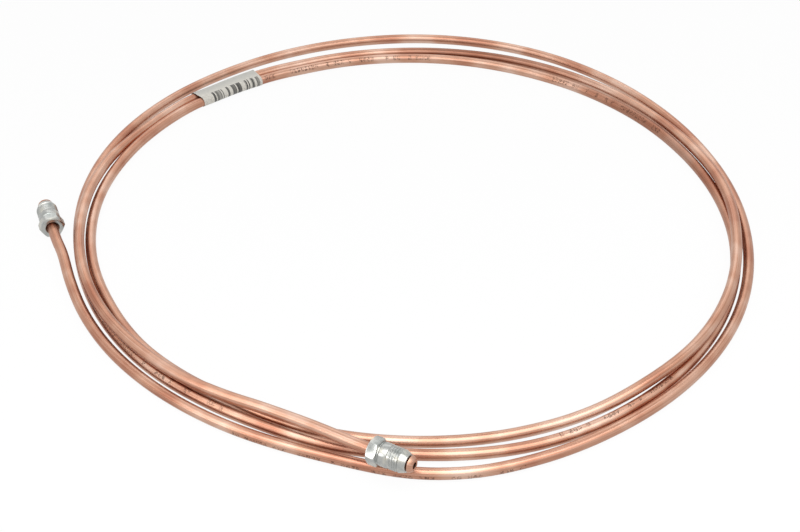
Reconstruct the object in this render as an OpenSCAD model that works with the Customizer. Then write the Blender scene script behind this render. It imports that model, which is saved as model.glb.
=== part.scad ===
// Coil of flared copper tube with a captive hexagon tube nut at each end
// and a paper label wrapped round two of its turns.
// Millimetres. +Z is up, the floor is z = 0 and the origin is the coil's axis on the floor.

/* [Tube] */
// Outside diameter of the drawn tube
tube_od = 4.75; // [4:0.05:5.5]
// Wall thickness of the tube
tube_wall = 0.7; // [0.5:0.05:1]

/* [Coil] */
// Mean radius of the coil, which is lane 0 of the winding chart
coil_r = 144; // [120:1:180]
// Clear gap between turns that lie side by side or on each other
turn_gap = 0.15; // [0.1:0.05:1]

/* [Flared ends] */
// Diameter of the bulb formed on each end of the tube
flare_d = 6.9; // [6.6:0.1:8]
// Length of that bulb along the tube
flare_len = 2.1; // [1.5:0.1:4]

/* [Tube nuts] */
// Width across the flats of the hexagon
nut_af = 10; // [10:0.5:13]
// Thickness of the hexagon
hex_t = 4.5; // [4:0.5:7]
// Outside diameter of the threaded shank
thread_d = 9.5; // [8.5:0.5:9.5]
// Length of the whole nut
nut_len = 16.5; // [15:0.5:22]
// Diameter of the nut's flat nose
nose_d = 7.2; // [6.6:0.1:8]
// Length of the bevel behind the nose
nose_len = 2; // [1:0.1:3]
// Depth of the groove between hexagon and shank
neck_depth = 0.4; // [0.2:0.1:0.8]
// Width of that groove
neck_w = 1; // [0.8:0.1:2]
// Diameter of the countersunk mouth where the tube enters the hexagon
mouth_d = 6.4; // [6:0.1:8]
// Depth of the countersink
mouth_depth = 0.9; // [0.5:0.1:2]
// Radial running clearance of the nut on the tube
bore_clear = 0.08; // [0.05:0.01:0.1]
// Gap between the nut's nose and the back of the bulb
seat_gap = 0.3; // [0.2:0.05:1]
// Clear gap between a nut's corners and what lies under it
nut_clear = 0.5; // [0.2:0.1:2]
// Straight tube left behind each nut
straight_tail = 6; // [2:0.5:20]
// Degrees by which the front nut is turned on its tube
front_turn = 16; // [0:1:60]
// Degrees by which the rear nut is turned on its tube
rear_turn = 30; // [0:1:60]

/* [Label] */
// Length of the label along the turns
label_len = 35; // [25:1:40]
// Place of the label's middle, in degrees of the winding chart
label_angle = 139.5; // [137:0.5:141]
// Thickness of the wrapped paper
label_t = 0.25; // [0.15:0.05:0.5]
// Gap between the paper and the tubes it wraps
label_clear = 0.15; // [0.1:0.05:0.5]

/* [Hidden] */
$fn = 64;

// Sizes that follow from those above
tube_r = tube_od / 2;
pitch = tube_od + turn_gap;
corner_r = nut_af / 2 / cos(30);
end_straight = nut_len + seat_gap + flare_len + straight_tail;

// Layers by which the front nut is raised so that it clears the turns beneath it
perch = (tube_r + corner_r + nut_clear) / pitch - 1;
// Layers by which the rear nut is raised so that it clears the floor
lift = (corner_r + nut_clear - tube_r) / pitch;
// Layers by which the two wrapped turns are raised so that the paper lies on the floor
wrap = (label_t + label_clear) / pitch + 0.02;

// Winding chart: [angle, lane, layer].
// The angle runs clockwise from above, from the front of the coil, through three turns and a quarter.
// A lane is one pitch outwards from the mean radius. A layer is one pitch up from the floor.
CHART = [
    // First turn: over the two below it, down between them at the back, over the second at the right
    [8.5, 0.36, 1 + perch],
    [12.5, -0.45, 1 + 0.8 * perch],
    [16.5, -1.1, 1 + 0.55 * perch],
    [21, -1.55, 1 + 0.3 * perch],
    [26.5, -1.73, 1 + 0.12 * perch],
    [33, -1.45, 1.03],
    [40, -1, 1.02],
    [50, -0.45, 1],
    [65, 0.4, 1.02],
    [80, 0.95, 1.02],
    [96, 1.27, 0.9],
    [102, 1.37, 0.72],
    [108, 1.46, 0.48],
    [114, 1.48, 0.1],
    [120, 1.29, 0],
    [126, 1.13, 0.5 * wrap],
    [131, 0.96, wrap],
    [136, 0.6, wrap],
    [141, 0.39, wrap],
    [146, 0.19, wrap],
    [150, 0.08, wrap],
    [157, 0.02, 0],
    [165, 0, 0],
    [180, 0.03, 0],
    [205, 0.4, 0],
    [222, 0.6, 0],
    [235, 0.6, 0.1],
    [247, 0.5, 0.42],
    [262, 0.45, 0.88],
    [277, 0.2, 1.03],
    [292, 0.15, 1.03],
    [306, -0.05, 1],
    [318, -0.6, 0.7],
    [328, -1.1, 0.15],
    [335, -1.35, 0],
    [343, -1.55, 0],
    [360, -1.85, 0],
    // Second turn: the inner one, on the floor all round
    [377, -1.9, 0],
    [387, -2, 0],
    [394, -2.05, 0],
    [404, -1.6, 0],
    [414, -1.1, 0],
    [427, -0.65, 0],
    [442, 0.05, 0],
    [458, 0.5, 0],
    [473, 0.48, 0],
    [480, 0.26, wrap],
    [486, 0.11, wrap],
    [491, -0.06, wrap],
    [496, -0.42, wrap],
    [501, -0.63, wrap],
    [506, -0.83, wrap],
    [510, -0.95, wrap],
    [517, -1.05, 0],
    [525, -1.1, 0],
    [540, -1.2, 0],
    [565, -1.15, 0],
    [582, -0.9, 0],
    [595, -0.65, 0],
    [607, -0.45, 0],
    [622, -0.1, 0],
    [637, 0.2, 0],
    [655, 0.25, 0],
    [680, 0.2, 0],
    [700, 0.1, 0],
    [720, -0.5, 0],
    // Third turn: the outer one at the back and on the right
    [732, -0.65, 0],
    [745, -0.95, 0],
    [757, -0.75, 0],
    [770, -0.2, 0],
    [785, 0.4, 0],
    [802, 1.1, 0],
    [818, 1.95, 0],
    [833, 2.5, 0],
    [847, 2.65, 0],
    [865, 2.55, 0],
    [885, 2.6, 0],
    [905, 2.75, 0],
    [925, 2.65, 0],
    [942, 2.2, 0],
    [955, 1.8, 0],
    [970, 1.45, 0],
    [990, 1.35, 0],
    [1015, 1.4, 0],
    [1045, 1.25, 0],
    [1062, 1.5, 0],
    [1071, 1.65, 0],
    [1080, 1.4, 0],
    // Last quarter: along the outside at the front, then away to the rear nut
    [1091, 0.6, 0],
    [1100, 0.35, 0],
    [1113, 0.5, 0],
    [1125, 0.85, 0],
    [1137, 1.35, 0.1 * lift],
    [1146, 1.75, 0.4 * lift],
    [1154, 2.08, 0.82 * lift],
    [1160, 2.45, lift],
    [1165, 3.25, lift]
];
FIRST = CHART[0][0];
LAST = CHART[len(CHART) - 1][0];
TURN = 360;

// Bulb profile from the tip: [share of its length, share of the way from tube to bulb radius]
BULB = [[0, 0.1], [0.15, 0.45], [0.5, 0.8], [0.75, 1], [0.9, 0.9], [1, 0]];

// Facets of the swept solids: sides round the tube, degrees between its rings, sides of the label
TUBE_SIDES = 12;
RING_STEP = 6;
LABEL_SIDES = 16;

function unit(v) = v / norm(v);

// Rate of change of one chart column at a station, from its neighbours
function station_slope(i, column) =
    let (before = CHART[max(0, i - 1)], after = CHART[min(len(CHART) - 1, i + 1)])
    (after[column] - before[column]) / (after[0] - before[0]);

// Last station at or before an angle
function station_at(angle, i = 0) =
    i >= len(CHART) - 2 || CHART[i + 1][0] > angle ? i : station_at(angle, i + 1);

// Smooth cubic reading of one chart column
function chart(angle, column) =
    let (
        i = station_at(angle),
        span = CHART[i + 1][0] - CHART[i][0],
        t = (angle - CHART[i][0]) / span,
        rise = CHART[i + 1][column] - CHART[i][column],
        slope_in = station_slope(i, column) * span,
        slope_out = station_slope(i + 1, column) * span
    )
    CHART[i][column] + slope_in * t
        + (3 * rise - 2 * slope_in - slope_out) * t * t
        + (slope_in + slope_out - 2 * rise) * t * t * t;

// Centre of the tube at a chart angle, never lower than a tube that lies on the floor
function tube_centre(angle) =
    let (r = coil_r + pitch * chart(angle, 1), z = tube_r + pitch * max(0, chart(angle, 2)))
    [-r * sin(angle), -r * cos(angle), z];

function heading(angle) = unit(tube_centre(angle + 0.01) - tube_centre(angle - 0.01));

// Where the winding ends and the straight ends begin, and the way each end points
front_start = tube_centre(FIRST);
front_way = -heading(FIRST);
rear_start = tube_centre(LAST);
rear_way = heading(LAST);

// One ring of points round a centre, square to a heading
function ring(centre, way, r, sides) =
    let (side = unit(cross(way, [0, 0, 1])), up = cross(side, way))
    [for (i = [0 : sides - 1]) let (a = 360 * i / sides - 90) centre + r * (cos(a) * side + sin(a) * up)];

// Stations of the tube from the front tip to the rear tip: [centre, heading, outer radius]
function bulb_r(share) = tube_r + share * (flare_d / 2 - tube_r);
function end_stations(start, way, heading) =
    [for (b = BULB) [start + way * (end_straight - b[0] * flare_len), heading, bulb_r(b[1])]];
function reversed(list) = [for (i = [len(list) - 1 : -1 : 0]) list[i]];
first_ring = RING_STEP * ceil((FIRST + 1) / RING_STEP);
last_ring = RING_STEP * floor((LAST - 1) / RING_STEP);
ring_angles = concat([FIRST], [for (a = [first_ring : RING_STEP : last_ring]) a], [LAST]);
tube_stations = concat(
    end_stations(front_start, front_way, -front_way),
    [for (a = ring_angles) [tube_centre(a), heading(a), tube_r]],
    reversed(end_stations(rear_start, rear_way, rear_way))
);

// Closed solid between two stacks of rings, an outer and an inner one with as many points each
module hollow_sweep(outer, inner) {
    rings = len(outer);
    sides = len(outer[0]);
    function at(k, i, wall) = (2 * k + wall) * sides + i % sides;
    function strip(a, b, c, d) = [[a, b, c], [a, c, d]];
    walls = [for (k = [0 : rings - 2], i = [0 : sides - 1]) each concat(
        strip(at(k, i, 0), at(k, i + 1, 0), at(k + 1, i + 1, 0), at(k + 1, i, 0)),
        strip(at(k, i, 1), at(k + 1, i, 1), at(k + 1, i + 1, 1), at(k, i + 1, 1))
    )];
    last = rings - 1;
    ends = [for (i = [0 : sides - 1]) each concat(
        strip(at(0, i, 0), at(0, i, 1), at(0, i + 1, 1), at(0, i + 1, 0)),
        strip(at(last, i, 0), at(last, i + 1, 0), at(last, i + 1, 1), at(last, i, 1))
    )];
    points = [for (k = [0 : last]) each concat(outer[k], inner[k])];
    polyhedron(points, concat(walls, ends));
}

// Tube: one drawn length from flared tip to flared tip, with its bore
module copper_tube() {
    color("#C88B69")
        hollow_sweep(
            [for (s = tube_stations) ring(s[0], s[1], s[2], TUBE_SIDES)],
            [for (s = tube_stations) ring(s[0], s[1], tube_r - tube_wall, TUBE_SIDES)]
        );
}

// Nut along +Z from the back of its hexagon to its nose
module hexagon_head() {
    flat_r = nut_af / 2;
    chamfer = (corner_r - flat_r) * tan(30);
    intersection() {
        cylinder(r = corner_r, h = hex_t, $fn = 6);
        rotate_extrude() polygon([
            [0, 0],
            [flat_r, 0],
            [corner_r, chamfer],
            [corner_r, hex_t - chamfer],
            [flat_r, hex_t],
            [0, hex_t]
        ]);
    }
}

module tube_nut() {
    shank_r = thread_d / 2;
    bore_r = tube_r + bore_clear;
    difference() {
        union() {
            hexagon_head();
            rotate_extrude() polygon([
                [0, hex_t / 2],
                [shank_r - neck_depth, hex_t / 2],
                [shank_r - neck_depth, hex_t + neck_w - neck_depth],
                [shank_r, hex_t + neck_w],
                [shank_r, nut_len - nose_len],
                [nose_d / 2, nut_len],
                [0, nut_len]
            ]);
        }
        translate([0, 0, -1])
            cylinder(r = bore_r, h = nut_len + 2);
        rotate_extrude() polygon([
            [0, -1],
            [mouth_d / 2, -1],
            [mouth_d / 2, 0],
            [bore_r, mouth_depth],
            [0, mouth_depth]
        ]);
    }
}

// Puts a nut's +Z along an end of the tube, turned about it, with its back just past the straight tail
module on_end(start, way, turn) {
    translate(start + straight_tail * way)
        rotate([0, acos(way[2]), atan2(way[1], way[0])])
            rotate([0, 0, turn])
                children();
}

module front_tube_nut() {
    color("#C9CCCB") on_end(front_start, front_way, front_turn) tube_nut();
}

module rear_tube_nut() {
    color("#C9CCCB") on_end(rear_start, rear_way, rear_turn) tube_nut();
}

// Centre of the tube between two of its rings, where it runs straight
function facet_centre(angle) =
    let (k = floor(angle / RING_STEP), t = angle / RING_STEP - k)
    (1 - t) * tube_centre(k * RING_STEP) + t * tube_centre((k + 1) * RING_STEP);

// Outline of the paper round the inner and outer of two turns at one angle
function wrap_loop(angle, r) =
    let (
        outward = [-sin(angle), -cos(angle), 0],
        near = facet_centre(angle + TURN),
        far = facet_centre(angle),
        half = LABEL_SIDES / 2 - 1
    )
    concat(
        [for (i = [0 : half]) let (a = 180 * i / half - 90)
            far + r * (cos(a) * outward + [0, 0, sin(a)])],
        [for (i = [0 : half]) let (a = 180 * i / half + 90)
            near + r * (cos(a) * outward + [0, 0, sin(a)])]
    );

// Label: a paper band closed round the first and second turns
module wrap_label() {
    reach = label_len / 2 / coil_r * 180 / PI;
    inner_r = tube_r + label_clear;
    low = label_angle - reach;
    high = label_angle + reach;
    first = ceil((low + 0.5) / RING_STEP);
    last = floor((high - 0.5) / RING_STEP);
    angles = concat([low], [for (k = [first : last]) k * RING_STEP], [high]);
    color("#E7E6E2")
        hollow_sweep(
            [for (a = angles) wrap_loop(a, inner_r + label_t)],
            [for (a = angles) wrap_loop(a, inner_r)]
        );
}

copper_tube();
front_tube_nut();
rear_tube_nut();
wrap_label();
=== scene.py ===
# %% [markdown]
# # A coil of flared copper tube
# The real object is one length of thin copper tube, bent into a loose flat coil. Each end is flared to a
# bulb that keeps a plated tube nut from falling off, and a paper label is wrapped round two turns.
# The solids already give every piece its place, so this lesson only makes them look like metal and paper:
# a smoother tube, nuts with real threads, a thinner label, and their finishes.

# %% Load the solids
import math

import bmesh
import bpy
from mathutils import Matrix, Vector
from mathutils.kdtree import KDTree


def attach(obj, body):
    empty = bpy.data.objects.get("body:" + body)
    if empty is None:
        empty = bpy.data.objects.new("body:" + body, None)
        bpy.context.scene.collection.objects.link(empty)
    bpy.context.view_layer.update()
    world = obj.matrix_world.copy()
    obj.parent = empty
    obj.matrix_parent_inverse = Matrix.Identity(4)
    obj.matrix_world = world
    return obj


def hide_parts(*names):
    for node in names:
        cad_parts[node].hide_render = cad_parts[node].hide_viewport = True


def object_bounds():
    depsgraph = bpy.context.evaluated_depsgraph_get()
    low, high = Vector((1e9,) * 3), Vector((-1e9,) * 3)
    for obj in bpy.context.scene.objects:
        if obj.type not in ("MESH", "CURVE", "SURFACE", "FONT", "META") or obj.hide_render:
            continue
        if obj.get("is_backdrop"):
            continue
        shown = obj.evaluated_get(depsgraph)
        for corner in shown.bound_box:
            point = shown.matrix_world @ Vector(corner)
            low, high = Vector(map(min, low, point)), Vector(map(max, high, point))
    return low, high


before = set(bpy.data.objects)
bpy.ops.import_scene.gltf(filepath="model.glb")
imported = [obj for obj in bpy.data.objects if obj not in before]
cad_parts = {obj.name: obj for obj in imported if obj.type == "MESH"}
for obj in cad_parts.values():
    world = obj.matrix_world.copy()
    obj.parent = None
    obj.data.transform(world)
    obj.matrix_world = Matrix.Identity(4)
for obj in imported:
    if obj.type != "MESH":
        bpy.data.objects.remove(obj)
solid_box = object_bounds()
MM = 0.001

# %% [markdown]
# ## Camera
# The picture is taken from the front, about 40 degrees above the floor, with a short telephoto lens.
# The lens decides how much smaller the far turns look than the near ones, so it comes before any shape.

# %% Place the camera
scene = bpy.context.scene
scene.view_settings.view_transform = "Standard"
lens = bpy.data.cameras.new("photo_camera")
lens.lens = 67.5
lens.sensor_width = 36
lens.sensor_fit = "HORIZONTAL"
camera = bpy.data.objects.new("photo_camera", lens)
camera.location = Vector((-5.5, -532.2, 429.7)) * MM
camera.rotation_euler = (math.radians(49.6), 0, 0)
scene.collection.objects.link(camera)
scene.camera = camera
print("camera at", [round(c, 3) for c in camera.location])

# %% [markdown]
# ## The tube's route
# A coil that was wound by hand is never a perfect spiral: turns wander in and out and climb over each other.
# A winding chart holds that in numbers. Each line gives an angle round the coil, a lane, which is how many
# tube pitches the tube lies outside the mean radius, and a layer, which is how many it lies above the floor.
# The solid tube was made from the same chart, so the smooth tube runs through the middle of it.

# %% Write down the winding chart
TUBE_OD = 4.75
TUBE_R = TUBE_OD / 2
BORE_R = TUBE_R - 0.7
COIL_R = 144
PITCH = TUBE_OD + 0.15
NUT_AF = 10
NUT_LEN = 16.5
NUT_CLEAR = 0.5
CORNER_R = NUT_AF / 2 / math.cos(math.radians(30))
TAIL = 6
SEAT_GAP = 0.3
FLARE_LEN = 2.1
END_STRAIGHT = NUT_LEN + SEAT_GAP + FLARE_LEN + TAIL
perch = (TUBE_R + CORNER_R + NUT_CLEAR) / PITCH - 1
lift = (CORNER_R + NUT_CLEAR - TUBE_R) / PITCH
wrap = 0.4 / PITCH + 0.02
CHART = [
    (8.5, 0.36, 1 + perch), (12.5, -0.45, 1 + 0.8 * perch), (16.5, -1.1, 1 + 0.55 * perch),
    (21, -1.55, 1 + 0.3 * perch), (26.5, -1.73, 1 + 0.12 * perch), (33, -1.45, 1.03), (40, -1, 1.02),
    (50, -0.45, 1), (65, 0.4, 1.02), (80, 0.95, 1.02), (96, 1.27, 0.9), (102, 1.37, 0.72), (108, 1.46, 0.48),
    (114, 1.48, 0.1), (120, 1.29, 0), (126, 1.13, 0.5 * wrap), (131, 0.96, wrap), (136, 0.6, wrap),
    (141, 0.39, wrap), (146, 0.19, wrap), (150, 0.08, wrap), (157, 0.02, 0), (165, 0, 0), (180, 0.03, 0),
    (205, 0.4, 0), (222, 0.6, 0), (235, 0.6, 0.1), (247, 0.5, 0.42), (262, 0.45, 0.88), (277, 0.2, 1.03),
    (292, 0.15, 1.03), (306, -0.05, 1), (318, -0.6, 0.7), (328, -1.1, 0.15), (335, -1.35, 0), (343, -1.55, 0),
    (360, -1.85, 0),
    (377, -1.9, 0), (387, -2, 0), (394, -2.05, 0), (404, -1.6, 0), (414, -1.1, 0), (427, -0.65, 0),
    (442, 0.05, 0), (458, 0.5, 0), (473, 0.48, 0), (480, 0.26, wrap), (486, 0.11, wrap), (491, -0.06, wrap),
    (496, -0.42, wrap), (501, -0.63, wrap), (506, -0.83, wrap), (510, -0.95, wrap), (517, -1.05, 0),
    (525, -1.1, 0), (540, -1.2, 0), (565, -1.15, 0), (582, -0.9, 0), (595, -0.65, 0), (607, -0.45, 0),
    (622, -0.1, 0), (637, 0.2, 0), (655, 0.25, 0), (680, 0.2, 0), (700, 0.1, 0), (720, -0.5, 0),
    (732, -0.65, 0), (745, -0.95, 0), (757, -0.75, 0), (770, -0.2, 0), (785, 0.4, 0), (802, 1.1, 0),
    (818, 1.95, 0), (833, 2.5, 0), (847, 2.65, 0), (865, 2.55, 0), (885, 2.6, 0), (905, 2.75, 0),
    (925, 2.65, 0), (942, 2.2, 0), (955, 1.8, 0), (970, 1.45, 0), (990, 1.35, 0), (1015, 1.4, 0),
    (1045, 1.25, 0), (1062, 1.5, 0), (1071, 1.65, 0), (1080, 1.4, 0),
    (1091, 0.6, 0), (1100, 0.35, 0), (1113, 0.5, 0), (1125, 0.85, 0), (1137, 1.35, 0.1 * lift),
    (1146, 1.75, 0.4 * lift), (1154, 2.08, 0.82 * lift), (1160, 2.45, lift), (1165, 3.25, lift),
]
FIRST, LAST, TURN = CHART[0][0], CHART[-1][0], 360
print("chart:", len(CHART), "stations,", round((LAST - FIRST) / TURN, 2), "turns")


# %% Read the chart smoothly
def read_chart(angle, column):
    """Smooth cubic reading of one column of the winding chart at an angle."""
    i = max(k for k in range(len(CHART) - 1) if k == 0 or CHART[k][0] <= angle)

    def slope(k):
        before, after = CHART[max(0, k - 1)], CHART[min(len(CHART) - 1, k + 1)]
        return (after[column] - before[column]) / (after[0] - before[0])

    span = CHART[i + 1][0] - CHART[i][0]
    t = (angle - CHART[i][0]) / span
    rise = CHART[i + 1][column] - CHART[i][column]
    start, end = slope(i) * span, slope(i + 1) * span
    curve = (3 * rise - 2 * start - end) * t ** 2 + (start + end - 2 * rise) * t ** 3
    return CHART[i][column] + start * t + curve


def tube_centre(angle):
    """Middle of the tube, in millimetres, at an angle of the winding chart."""
    r = COIL_R + PITCH * read_chart(angle, 1)
    z = TUBE_R + PITCH * max(0, read_chart(angle, 2))
    a = math.radians(angle)
    return Vector((-r * math.sin(a), -r * math.cos(a), z))


def heading(angle):
    """The way the tube runs at an angle of the winding chart."""
    return (tube_centre(angle + 0.01) - tube_centre(angle - 0.01)).normalized()


front_start, front_way = tube_centre(FIRST), -heading(FIRST)
rear_start, rear_way = tube_centre(LAST), heading(LAST)
print("front end", [round(c, 1) for c in front_start], "rear end", [round(c, 1) for c in rear_start])

# %% [markdown]
# ## The smooth tube
# A tube can be a bevelled curve, but its ends then need the lip, the bulb and the bore added by hand.
# Here it is a long grid that is rolled up: each row of the grid becomes one ring, along the outside from tip
# to tip and back through the bore, and the seams are merged. Every station says where its ring is, which way
# it faces and how wide it is, so a bulb is just wider rings.

# %% List the ring's stations
RING_STEP = 1.5
BORE_STEP = 4
# Bulb from the tip: distance from the tip and radius. The widest part sits against the nut's nose.
BULB = [
    (0.1, 1.3), (0, 1.6), (0.04, 2.1), (0.3, 2.6), (0.75, 2.95), (1.2, 3.25), (1.55, 3.42), (1.8, 3.44),
    (1.97, 3.2), (2.06, 2.8), (FLARE_LEN, TUBE_R),
]
LIP = 0.25


def stretch(step):
    """Angles from the first station to the last, at most a step apart."""
    count = math.ceil((LAST - FIRST) / step)
    return [FIRST + (LAST - FIRST) * i / count for i in range(count + 1)]


def flared_end(start, way, run, angle):
    """Stations of one bulb, from its tip inwards, after the lip where the bore begins."""
    tip = start + END_STRAIGHT * way
    return [(tip - s * way, run, r, angle) for s, r in [(LIP, BORE_R)] + BULB]


outside = [(tube_centre(a), heading(a), TUBE_R, a) for a in stretch(RING_STEP)]
bore = [(tube_centre(a), heading(a), BORE_R, a) for a in stretch(BORE_STEP)]
front_end = flared_end(front_start, front_way, -front_way, FIRST)
rear_end = flared_end(rear_start, rear_way, rear_way, LAST)
stations = front_end + outside + rear_end[::-1] + bore[::-1]
print("stations:", len(stations))

# %% [markdown]
# Where two turns touch, a redder copper is painted in as shade: the reddish dark where the turns mirror each
# other. To find these grooves, points along the middle of the tube go into a k-d tree, which quickly lists
# those near a place. Points less than a quarter turn away belong to the same stretch of the tube and don't
# count.

# %% Find the grooves
GROOVE_REACH = 1.0
GROOVE_STEP = 0.25
OWN_STRETCH = TURN / 4
middles = stretch(GROOVE_STEP)
neighbours = KDTree(len(middles))
for i, angle in enumerate(middles):
    neighbours.insert(tube_centre(angle), i)
neighbours.balance()


def groove_at(place, angle):
    """How deep a place on the tube lies in a groove beside another turn, from 0 to 1."""
    near = neighbours.find_range(place, TUBE_R + GROOVE_REACH)
    gaps = [distance - TUBE_R for _, i, distance in near if abs(middles[i] - angle) > OWN_STRETCH]
    return min(1, 1 - min(gaps) / GROOVE_REACH) if gaps else 0


print("groove search:", len(middles), "points along the tube")

# %% [markdown]
# The tube carries short lines of ink marks. It rolls a little as it is wound, so the lines sit on its inner
# side at the back, on top at the right and low on the outer side at the front. A short table says where each
# line starts and ends and how far round the tube it sits. Each vertex stores its distance along the tube and
# its place round it as attributes, so that draw lines and ink follow the tube however it bends. Two more
# attributes say where painted shade goes: darker stretches at the back, and how deep it lies in a groove.

# %% Roll up the tube
# Ink lines: first and last angle of the winding chart, then degrees from the tube's top towards the outside.
INK_LINES = [(505, 545, -48), (572, 602, -42), (672, 697, -5), (752, 800, 21), (1064, 1108, 103)]
SIDES = 32
NO_INK = -1
# Stretches of painted shade at the back, darker and browner: where each starts and is full, where it fades and
# ends, and how deep it is.
BACK_SHADE_STRETCHES = [(174, 186, 198, 224, 1), (572, 590, 613, 640, 0.65)]


def ink_roll(angle):
    """How far round the tube the ink sits, or None where there is none."""
    return next((math.radians(roll) for first, last, roll in INK_LINES if first <= angle <= last), None)


def back_shade_at(angle):
    """How far painted shade darkens the copper at an angle of the winding chart, from 0 to 1."""
    return max(depth * max(0, min(1, (angle - start) / (full - start), (end - angle) / (end - fade)))
               for start, full, fade, end, depth in BACK_SHADE_STRETCHES)


def roll_tube(stations, sides):
    """Closed tube from a grid with one row for each station, the first one repeated at the end."""
    bm = bmesh.new()
    rows = len(stations)
    bmesh.ops.create_grid(bm, x_segments=sides, y_segments=rows, size=1)
    grid = bm.verts.layers.float_vector.new("tube_grid")
    ink = bm.verts.layers.float_vector.new("ink_line")
    # This layer holds painted shade: how far the darker stretches at the back darken the copper.
    shade_paint = bm.verts.layers.float.new("back_shade_paint")
    # This layer says how deep each place lies beside another turn, where the redder painted shade goes.
    groove = bm.verts.layers.float.new("groove")
    along = [0]
    for here, there in zip(stations, stations[1:]):
        along.append(along[-1] + (there[0] - here[0]).length)
    for v in bm.verts:
        row = round((v.co.y + 1) / 2 * rows) % rows
        turn = (v.co.x + 1) * math.pi
        centre, way, radius, angle = stations[row]
        side = way.cross(Vector((0, 0, 1))).normalized()
        arm = math.cos(turn) * side + math.sin(turn) * side.cross(way)
        v.co = (centre + radius * arm) * MM
        out = arm.dot(Vector((centre.x, centre.y, 0)).normalized())
        v[grid] = (along[row], arm.z, out)
        v[shade_paint] = back_shade_at(angle)
        v[groove] = groove_at(centre + radius * arm, angle)
        roll = ink_roll(angle)
        if roll is None:
            v[ink] = (along[row], 0, NO_INK)
        else:
            v[ink] = (along[row], out * math.cos(roll) - arm.z * math.sin(roll),
                      arm.z * math.cos(roll) + out * math.sin(roll))
    bmesh.ops.remove_doubles(bm, verts=bm.verts, dist=0.001 * MM)
    bmesh.ops.recalc_face_normals(bm, faces=bm.faces)
    return bm


tube_mesh = roll_tube(stations, SIDES)
print("tube:", len(tube_mesh.faces), "faces, open edges:", sum(not e.is_manifold for e in tube_mesh.edges))


# %% Turn a bmesh into a piece
def make_piece(name, bm, body, slot, *nodes):
    """Object from a bmesh, smooth but for its sharp edges, riding on a body in place of solids."""
    mesh = bpy.data.meshes.new(name)
    bm.to_mesh(mesh)
    bm.free()
    mesh.polygons.foreach_set("use_smooth", [True] * len(mesh.polygons))
    mesh.set_sharp_from_angle(angle=math.radians(32))
    piece = bpy.data.objects.new(name, mesh)
    scene.collection.objects.link(piece)
    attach(piece, body)
    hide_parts(*nodes)
    print(name, "has", len(mesh.polygons), "faces")
    return piece


tube = make_piece("drawn_copper_tube", tube_mesh, "coil", "copper", "copper_tube")

# %% [markdown]
# ## The tube nuts
# A tube nut starts on a lathe as a bar with a bore, a groove behind the head and a bevelled nose.
# Then six flats are milled on the head. The lesson does the same: a profile is spun into a turned blank,
# and six plane cuts make the flats. That leaves the curved chamfer lines of a real nut for free.

# %% Turn the blank
# Profile of the blank, as radius and distance from the back of the head, once round the wall.
BLANK = [
    (3.2, 0), (4.5, 0), (4.64, 0.04), (5.7, 0.72), (5.74, 0.8), (5.74, 3.9), (5.7, 3.98),
    (4.8, 4.46), (4.7, 4.5), (4.55, 4.5), (4.48, 4.56), (4.45, 4.66), (4.45, 5.0),
    (4.7, 5.3), (4.75, 5.55), (4.75, 8.3), (4.7, 8.45),
    (4.38, 8.7), (4.38, 13.35), (4.6, 13.6), (4.64, 13.7), (4.6, 13.85), (3.72, 16.2), (3.62, 16.38),
    (3.46, 16.46), (2.8, 16.48), (2.46, 16.2), (2.46, 0.8),
]
NUT_STEPS = 96


def turn_blank():
    bm = bmesh.new()
    corners = [bm.verts.new((r * MM, 0, z * MM)) for r, z in BLANK]
    outline = [bm.edges.new((a, b)) for a, b in zip(corners, corners[1:] + corners[:1])]
    bmesh.ops.spin(bm, geom=corners + outline, cent=(0, 0, 0), axis=(0, 0, 1), angle=math.tau,
                   steps=NUT_STEPS, use_merge=True)
    bmesh.ops.remove_doubles(bm, verts=bm.verts, dist=0.001 * MM)
    return bm


# %% Mill the six flats
def mill_flats(bm):
    for k in range(6):
        a = math.radians(60 * k + 30)
        flat = Vector((math.cos(a), math.sin(a), 0))
        cut = bmesh.ops.bisect_plane(bm, geom=bm.verts[:] + bm.edges[:] + bm.faces[:],
                                     plane_co=flat * NUT_AF / 2 * MM, plane_no=flat, clear_outer=True)
        rim = [g for g in cut["geom_cut"] if isinstance(g, bmesh.types.BMEdge)]
        bmesh.ops.edgeloop_fill(bm, edges=rim)
    bmesh.ops.recalc_face_normals(bm, faces=bm.faces)


# %% [markdown]
# The thread is a ridge that climbs a little over a millimetre for each turn. The spin operator can do that
# too: with a small step along the axis it sweeps the ridge's profile into a helix. The ridge sits on the
# thread's core, and its two ends run into the plain shank and the bevel of the nose.

# %% Cut the thread
THREAD = (9.1, 13.1)
THREAD_PITCH = 1.06
RIDGE = [(4.32, -0.48), (4.68, -0.16), (4.68, 0.16), (4.32, 0.48)]
STEPS_PER_TURN = 48


def cut_thread(bm):
    steps = int((THREAD[1] - THREAD[0]) / THREAD_PITCH * STEPS_PER_TURN)
    ridge = [bm.verts.new((r * MM, 0, (THREAD[0] + z) * MM)) for r, z in RIDGE]
    sides = [bm.edges.new((a, b)) for a, b in zip(ridge, ridge[1:] + ridge[:1])]
    start = bm.faces.new(ridge)
    bmesh.ops.spin(bm, geom=ridge + sides + [start], cent=(0, 0, 0), axis=(0, 0, 1),
                   dvec=(0, 0, THREAD_PITCH / STEPS_PER_TURN * MM),
                   angle=math.tau * steps / STEPS_PER_TURN, steps=steps)


def make_nut(name, body, node, start, way, turn):
    """One nut, turned, milled and threaded, then set on its end of the tube."""
    bm = turn_blank()
    mill_flats(bm)
    cut_thread(bm)
    bmesh.ops.recalc_face_normals(bm, faces=bm.faces)
    grid = bm.verts.layers.float_vector.new("nut_grid")
    for v in bm.verts:
        v[grid] = v.co / MM
    place = Matrix.Translation((start + TAIL * way) * MM)
    lean = Matrix.Rotation(math.atan2(way.y, way.x), 4, "Z") @ Matrix.Rotation(math.acos(way.z), 4, "Y")
    bmesh.ops.transform(bm, matrix=place @ lean @ Matrix.Rotation(math.radians(turn), 4, "Z"), verts=bm.verts)
    return make_piece(name, bm, body, "zinc_plated_steel", node)


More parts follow.
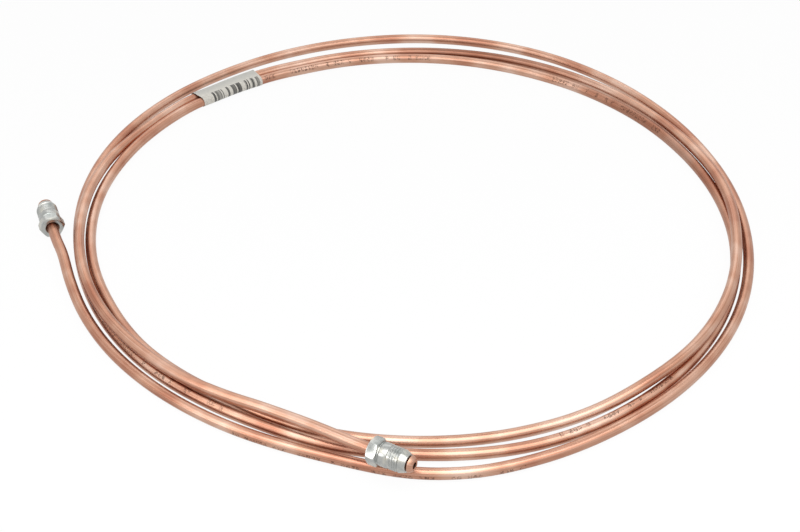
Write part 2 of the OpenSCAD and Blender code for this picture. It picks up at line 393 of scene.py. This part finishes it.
FRONT_TURN, REAR_TURN = 16, 30
front_nut = make_nut("front_plated_nut", "front_nut", "front_tube_nut", front_start, front_way, FRONT_TURN)
rear_nut = make_nut("rear_plated_nut", "rear_nut", "rear_tube_nut", rear_start, rear_way, REAR_TURN)

# %% [markdown]
# ## The label
# The label is a strip of coated paper, stuck to itself round two turns, so its section is a racetrack:
# two half circles with flat paper between. Each section starts as a circle whose halves are moved to the two
# tubes, and the sections are then bridged. The paper stays straight where the tubes bend, so it gapes a little
# over them at one end and stands off the outer tube at the other.

# %% Wrap the paper
LABEL_MID, LABEL_LEN, PAPER = 139.5, 35, 0.15
LABEL_SIDES, LABEL_SECTIONS = 48, 21
SLACK, GAPE, STAND_OFF = 0.1, 0.4, 1.2


def label_section(bm, share):
    """One racetrack of paper round the inner and outer of the two turns, at a share of the label's length."""
    angle = LABEL_MID + math.degrees(LABEL_LEN / 2 / COIL_R) * (2 * share - 1)
    outward = Vector((-math.sin(math.radians(angle)), -math.cos(math.radians(angle)), 0))
    across = Vector((0, 0, 1)).cross(outward)
    turn = Matrix((outward, Vector((0, 0, 1)), across)).transposed().to_4x4()
    inner = tube_centre(angle + TURN)
    outer = tube_centre(angle) + STAND_OFF * share ** 2 * outward
    ring = bmesh.ops.create_circle(bm, radius=1, segments=LABEL_SIDES, matrix=turn)["verts"]
    for v in ring:
        out, up = v.co.dot(outward), v.co.z
        v[bm.verts.layers.float_vector["label_grid"]] = (share * LABEL_LEN, out, up)
        gape = GAPE * (1 - share) ** 5 * max(0, up)
        v.co = (v.co * (TUBE_R + SLACK + gape) + (outer if out > 0.001 else inner)) * MM
    return list({e for v in ring for e in v.link_edges})


def wrap_label():
    bm = bmesh.new()
    bm.verts.layers.float_vector.new("label_grid")
    sections = [label_section(bm, k / (LABEL_SECTIONS - 1)) for k in range(LABEL_SECTIONS)]
    for here, there in zip(sections, sections[1:]):
        bmesh.ops.bridge_loops(bm, edges=here + there)
    bmesh.ops.recalc_face_normals(bm, faces=bm.faces)
    bmesh.ops.solidify(bm, geom=bm.faces[:], thickness=-PAPER * MM)
    return bm


label = make_piece("paper_wrap_label", wrap_label(), "coil", "label_paper", "wrap_label")

# %% [markdown]
# ## Finishes
# Every colour is written as the hex value one would pick from a picture, and turned to the linear light that
# the shader mixes in. One small function adds a node, sets it and links it.


# %% Helpers for materials
def tone(hex_value):
    """Linear colour from an sRGB hex value."""
    parts = [int(hex_value[i:i + 2], 16) / 255 for i in (1, 3, 5)]
    return [c / 12.92 if c <= 0.04045 else ((c + 0.055) / 1.055) ** 2.4 for c in parts] + [1]


def add(tree, kind, settings=None, **inputs):
    """Adds a node with its settings. Inputs are set or linked by socket name, or by number after an n."""
    node = tree.nodes.new("ShaderNode" + kind)
    for key, value in (settings or {}).items():
        setattr(node, key, value)
    for key, value in inputs.items():
        socket = node.inputs[int(key[1:])] if key[1:].isdigit() else node.inputs[key.replace("_", " ")]
        if isinstance(value, bpy.types.NodeSocket):
            tree.links.new(value, socket)
        else:
            socket.default_value = value
    return node


def new_material(name):
    material = bpy.data.materials.new(name)
    material.use_nodes = True
    tree = material.node_tree
    return material, tree, tree.nodes["Principled BSDF"]


def product(tree, *values):
    """Multiplies any number of sockets, as masks that all have to hold."""
    result = values[0]
    for value in values[1:]:
        result = add(tree, "Math", {"operation": "MULTIPLY"}, n0=result, n1=value).outputs[0]
    return result


# %% [markdown]
# ### Drawn copper
# Soft copper tube is pulled through a die, which leaves a satin skin with fine lines along it, and handling
# leaves slightly redder and paler patches. Copper is a metal: its colour is in the reflection. It reddens as
# it darkens, so the lines are made with a Gamma node, which does both at once, and not by plain brightness.

# %% Drawn copper
copper, tree, shader = new_material("drawn_copper")
grid = add(tree, "Attribute", {"attribute_name": "tube_grid"})
spot = add(tree, "TexCoord").outputs["Object"]
# Draw lines about 0.35 mm apart round the tube and some 40 mm long, coarser than real ones so that they show
lines_at = add(tree, "VectorMath", {"operation": "MULTIPLY"}, n0=grid.outputs["Vector"], n1=(0.025, 6.8, 6.8))
lines = add(tree, "TexNoise", Vector=lines_at.outputs[0], Scale=1.0, Detail=3.0, Roughness=0.6)
# Handling patches about 20 mm across
patches = add(tree, "TexNoise", Vector=spot, Scale=50.0, Detail=2.0, Roughness=0.55)
patch_tone = add(tree, "ValToRGB", Fac=patches.outputs["Fac"])
ramp = patch_tone.color_ramp
ramp.elements[0].position, ramp.elements[0].color = 0.34, tone("#AF7E69")
ramp.elements[1].position, ramp.elements[1].color = 0.68, tone("#CEAD9B")
ramp.elements.new(0.5).color = tone("#BE937D")
streak = add(tree, "MapRange", Value=lines.outputs["Fac"], n1=0.3, n2=0.7, n3=1.28, n4=0.8)
skin = add(tree, "Gamma", Color=patch_tone.outputs["Color"], Gamma=streak.outputs[0])
# In the grooves a redder copper is painted in as shade, the reddish dark where the turns mirror each other
contact_shade_share = add(tree, "Math", {"operation": "MULTIPLY"},
            n0=add(tree, "Attribute", {"attribute_name": "groove"}).outputs["Fac"], n1=0.9)
contact_shaded = add(tree, "Mix", {"data_type": "RGBA"}, n0=contact_shade_share.outputs[0], n6=skin.outputs[0], n7=tone("#D08356"))
# Painted shade: darker, browner stretches on the pair of tubes at the back
shade_paint = add(tree, "Math", {"operation": "MULTIPLY"},
            n0=add(tree, "Attribute", {"attribute_name": "back_shade_paint"}).outputs["Fac"], n1=0.8)
back_shaded = add(tree, "Mix", {"data_type": "RGBA"},
              n0=shade_paint.outputs[0], n6=contact_shaded.outputs[2], n7=tone("#80503D"))
shader.inputs["Metallic"].default_value = 1
gloss = add(tree, "MapRange", Value=lines.outputs["Fac"], n1=0.3, n2=0.7, n3=0.32, n4=0.44)
tree.links.new(gloss.outputs[0], shader.inputs["Roughness"])
relief = add(tree, "Bump", Height=lines.outputs["Fac"], Strength=0.12, Distance=0.00005)
tree.links.new(relief.outputs[0], shader.inputs["Normal"])
print("drawn copper:", len(tree.nodes), "nodes")

# %% [markdown]
# The ink is sprayed on by a machine as rows of small dots. Here the dots say nothing: a random number switches
# each one on or off, in groups 1.6 mm wide with a gap after each, and another random number leaves out a group
# now and then, so that from a little way off it looks like worn print.

# %% Ink marks
DOT, GROUP, HALF_TALL = 0.4, 2.0, 1.15
line_at = add(tree, "Attribute", {"attribute_name": "ink_line"})
line = add(tree, "SeparateXYZ", Vector=line_at.outputs["Vector"])
across = add(tree, "Math", {"operation": "MULTIPLY"}, n0=line.outputs["Y"], n1=TUBE_R).outputs[0]
column = add(tree, "Math", {"operation": "SNAP"}, n0=line.outputs["X"], n1=DOT)
row = add(tree, "Math", {"operation": "SNAP"}, n0=across, n1=DOT)
dot_at = add(tree, "CombineXYZ", X=column.outputs[0], Y=row.outputs[0])
dot_dice = add(tree, "TexWhiteNoise", {"noise_dimensions": "2D"}, Vector=dot_at.outputs[0])
dot_on = add(tree, "Math", {"operation": "GREATER_THAN"}, n0=dot_dice.outputs["Value"], n1=0.42).outputs[0]
group = add(tree, "Math", {"operation": "DIVIDE"}, n0=line.outputs["X"], n1=GROUP).outputs[0]
group_number = add(tree, "Math", {"operation": "FLOOR"}, n0=group).outputs[0]
group_dice = add(tree, "TexWhiteNoise", {"noise_dimensions": "1D"}, W=group_number)
group_on = add(tree, "Math", {"operation": "GREATER_THAN"},
               n0=group_dice.outputs["Value"], n1=0.35).outputs[0]
in_group = add(tree, "Math", {"operation": "FRACT"}, n0=group).outputs[0]
inside = add(tree, "Math", {"operation": "LESS_THAN"}, n0=in_group, n1=0.8).outputs[0]
off_line = add(tree, "Math", {"operation": "ABSOLUTE"}, n0=across).outputs[0]
near_line = add(tree, "Math", {"operation": "LESS_THAN"}, n0=off_line, n1=HALF_TALL).outputs[0]
facing = add(tree, "Math", {"operation": "GREATER_THAN"}, n0=line.outputs["Z"], n1=0.3).outputs[0]
worn = add(tree, "TexNoise", Vector=spot, Scale=900.0, Detail=1.0)
kept = add(tree, "MapRange", Value=worn.outputs["Fac"], n1=0.35, n2=0.55, n3=0.2, n4=0.7).outputs[0]
mark = product(tree, dot_on, group_on, inside, near_line, facing, kept)
inked = add(tree, "Mix", {"data_type": "RGBA"}, n0=mark, n6=back_shaded.outputs[2], n7=tone("#4A342C"))
tree.links.new(inked.outputs[2], shader.inputs["Base Color"])
tube.data.materials.append(copper)
print("drawn copper with ink:", len(tree.nodes), "nodes")

# %% [markdown]
# ### Zinc-plated steel
# The nuts are steel with a bright zinc plating, a pale grey with faint blue and straw tints from its
# passivation. Under the plating the lathe's fine rings still show on the turned faces.

# %% Zinc-plated steel
zinc, tree, shader = new_material("zinc_plated_steel")
grid = add(tree, "Attribute", {"attribute_name": "nut_grid"})
tint = add(tree, "TexNoise", Vector=grid.outputs["Vector"], Scale=0.22, Detail=3.0, Roughness=0.6)
tint_tone = add(tree, "ValToRGB", Fac=tint.outputs["Fac"])
ramp = tint_tone.color_ramp
ramp.elements[0].position, ramp.elements[0].color = 0.34, tone("#969A97")
ramp.elements[1].position, ramp.elements[1].color = 0.68, tone("#C0BEB4")
ramp.elements.new(0.5).color = tone("#ABACA9")
tree.links.new(tint_tone.outputs["Color"], shader.inputs["Base Color"])
shader.inputs["Metallic"].default_value = 1
# Lathe rings 0.25 mm apart along the nut's axis
rings_at = add(tree, "VectorMath", {"operation": "MULTIPLY"}, n0=grid.outputs["Vector"], n1=(0.15, 0.15, 4.0))
rings = add(tree, "TexNoise", Vector=rings_at.outputs[0], Scale=1.0, Detail=2.0)
gloss = add(tree, "MapRange", Value=rings.outputs["Fac"], n1=0.3, n2=0.7, n3=0.22, n4=0.36)
tree.links.new(gloss.outputs[0], shader.inputs["Roughness"])
relief = add(tree, "Bump", Height=rings.outputs["Fac"], Strength=0.2, Distance=0.00005)
tree.links.new(relief.outputs[0], shader.inputs["Normal"])
for nut in (front_nut, rear_nut):
    nut.data.materials.append(zinc)
print("zinc-plated steel:", len(tree.nodes), "nodes")

# %% [markdown]
# ### Coated paper
# The label is white coated paper, greyer on its outer half, with a row of printed bars on the half that faces
# the middle of the coil. The bars are made up: random numbers make each 0.6 mm cell dark, pale or white.

# %% Coated paper
BAR, BARS_FROM, BARS_TO, BARS_EDGE = 0.6, 6.0, 34.2, 0.012
paper, tree, shader = new_material("coated_paper")
place = add(tree, "Attribute", {"attribute_name": "label_grid"})
grid = add(tree, "SeparateXYZ", Vector=place.outputs["Vector"])
spot = add(tree, "TexCoord").outputs["Object"]
cell = add(tree, "Math", {"operation": "DIVIDE"}, n0=grid.outputs["X"], n1=BAR)
number = add(tree, "Math", {"operation": "FLOOR"}, n0=cell.outputs[0]).outputs[0]
throw = add(tree, "TexWhiteNoise", {"noise_dimensions": "1D"}, W=number)
dice = add(tree, "SeparateColor", Color=throw.outputs["Color"])
bar = add(tree, "Math", {"operation": "GREATER_THAN"}, n0=dice.outputs["Red"], n1=0.36).outputs[0]
begun = add(tree, "Math", {"operation": "GREATER_THAN"}, n0=grid.outputs["X"], n1=BARS_FROM).outputs[0]
ended = add(tree, "Math", {"operation": "LESS_THAN"}, n0=grid.outputs["X"], n1=BARS_TO).outputs[0]
inner = add(tree, "Math", {"operation": "LESS_THAN"}, n0=grid.outputs["Y"], n1=BARS_EDGE).outputs[0]
depth = add(tree, "MapRange", Value=dice.outputs["Green"], n1=0.2, n2=1.0, n3=1.0, n4=0.45).outputs[0]
printed = product(tree, bar, begun, ended, inner, depth)
fibres = add(tree, "TexNoise", Vector=spot, Scale=900.0, Detail=3.0)
sheet_tone = add(tree, "ValToRGB", Fac=fibres.outputs["Fac"])
ramp = sheet_tone.color_ramp
ramp.elements[0].position, ramp.elements[0].color = 0.3, tone("#D2CFC6")
ramp.elements[1].position, ramp.elements[1].color = 0.7, tone("#E4E0D6")
outer = add(tree, "MapRange", Value=grid.outputs["Y"], n1=0.0, n2=0.1, n3=0.0, n4=0.85)
two_tone = add(tree, "Mix", {"data_type": "RGBA"},
               n0=outer.outputs[0], n6=sheet_tone.outputs["Color"], n7=tone("#C3C2BC"))
inked = add(tree, "Mix", {"data_type": "RGBA"}, n0=printed, n6=two_tone.outputs[2], n7=tone("#33322F"))
tree.links.new(inked.outputs[2], shader.inputs["Base Color"])
shader.inputs["Roughness"].default_value = 0.45
creases = add(tree, "TexNoise", Vector=spot, Scale=260.0, Detail=4.0, Roughness=0.7)
relief = add(tree, "Bump", Height=creases.outputs["Fac"], Strength=0.35, Distance=0.0004)
tree.links.new(relief.outputs[0], shader.inputs["Normal"])
label.data.materials.append(paper)
print("coated paper:", len(tree.nodes), "nodes")

# %% [markdown]
# ## Studio
# The coil lies on a white sheet under soft light. The floor and the world are plain white to the camera and in
# reflections, but the floor keeps a faint share of its own shading, so the tube still casts a soft shadow.

# %% Floor
floor_mesh = bmesh.new()
bmesh.ops.create_grid(floor_mesh, x_segments=1, y_segments=1, size=3)
bmesh.ops.translate(floor_mesh, vec=(0, 0, -0.0002), verts=floor_mesh.verts)
mesh = bpy.data.meshes.new("studio_floor")
floor_mesh.to_mesh(mesh)
floor_mesh.free()
floor = bpy.data.objects.new("studio_floor", mesh)
scene.collection.objects.link(floor)
floor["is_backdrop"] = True


def seen_share(tree):
    """1 for rays that show the background: from the camera, off gloss or through glass."""
    path = add(tree, "LightPath").outputs
    seen = path["Is Camera Ray"]
    for ray in ("Is Glossy Ray", "Is Transmission Ray"):
        seen = add(tree, "Math", {"operation": "MAXIMUM"}, n0=seen, n1=path[ray]).outputs[0]
    return seen


sheet, tree, shader = new_material("white_paper_sheet")
shader.inputs["Base Color"].default_value = tone("#F2F2F2")
shader.inputs["Roughness"].default_value = 1
shader.inputs["Specular IOR Level"].default_value = 0
glow = add(tree, "Emission", Color=tone("#FFFFFF"), Strength=1.0)
share = add(tree, "Math", {"operation": "MULTIPLY"}, n0=seen_share(tree), n1=0.95)
both = add(tree, "MixShader", n0=share.outputs[0], n1=shader.outputs[0], n2=glow.outputs[0])
tree.links.new(both.outputs[0], tree.nodes["Material Output"].inputs["Surface"])
floor.data.materials.append(sheet)

# %% [markdown]
# Polished tube shows its roundness by what it mirrors. One wide soft box in front gives the near turns their
# bright line, a narrow one behind gives the turns at the sides theirs, and a small one at the left picks out
# one facet of the front nut. The narrow spread of the front one keeps it off the turns at the back.

# %% Light
world = bpy.data.worlds.new("studio")
world.use_nodes = True
scene.world = world
tree = world.node_tree
sky = tree.nodes["Background"]
sky.inputs["Color"].default_value = tone("#FFFFFF")
strength = add(tree, "MapRange", Value=seen_share(tree), n1=0.0, n2=1.0, n3=0.45, n4=1.0)
tree.links.new(strength.outputs[0], sky.inputs["Strength"])


def soft_box(name, place, aim, size, power, spread):
    lamp = bpy.data.lights.new(name, "AREA")
    lamp.shape = "RECTANGLE"
    lamp.size, lamp.size_y = size
    lamp.energy = power
    lamp.spread = math.radians(spread)
    box = bpy.data.objects.new(name, lamp)
    box.location = place
    box.rotation_euler = (Vector(aim) - Vector(place)).to_track_quat("-Z", "Y").to_euler()
    scene.collection.objects.link(box)


soft_box("front_soft_box", (0, -0.42, 0.62), (0, -0.37, 0), (1.5, 0.75), 3.5, 96)
soft_box("back_soft_box", (-0.05, 0.85, 0.7), (0, 0, 0), (1.3, 0.35), 0.6, 120)
soft_box("nut_soft_box", (-0.78, -0.58, 0.52), (-0.01, -0.15, 0.012), (0.35, 0.35), 0.06, 30)

# %% Print the two boxes and finish
visual_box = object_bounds()
for name, box in (("solids", solid_box), ("visual", visual_box)):
    print(name, [[round(x, 4) for x in corner] for corner in box])
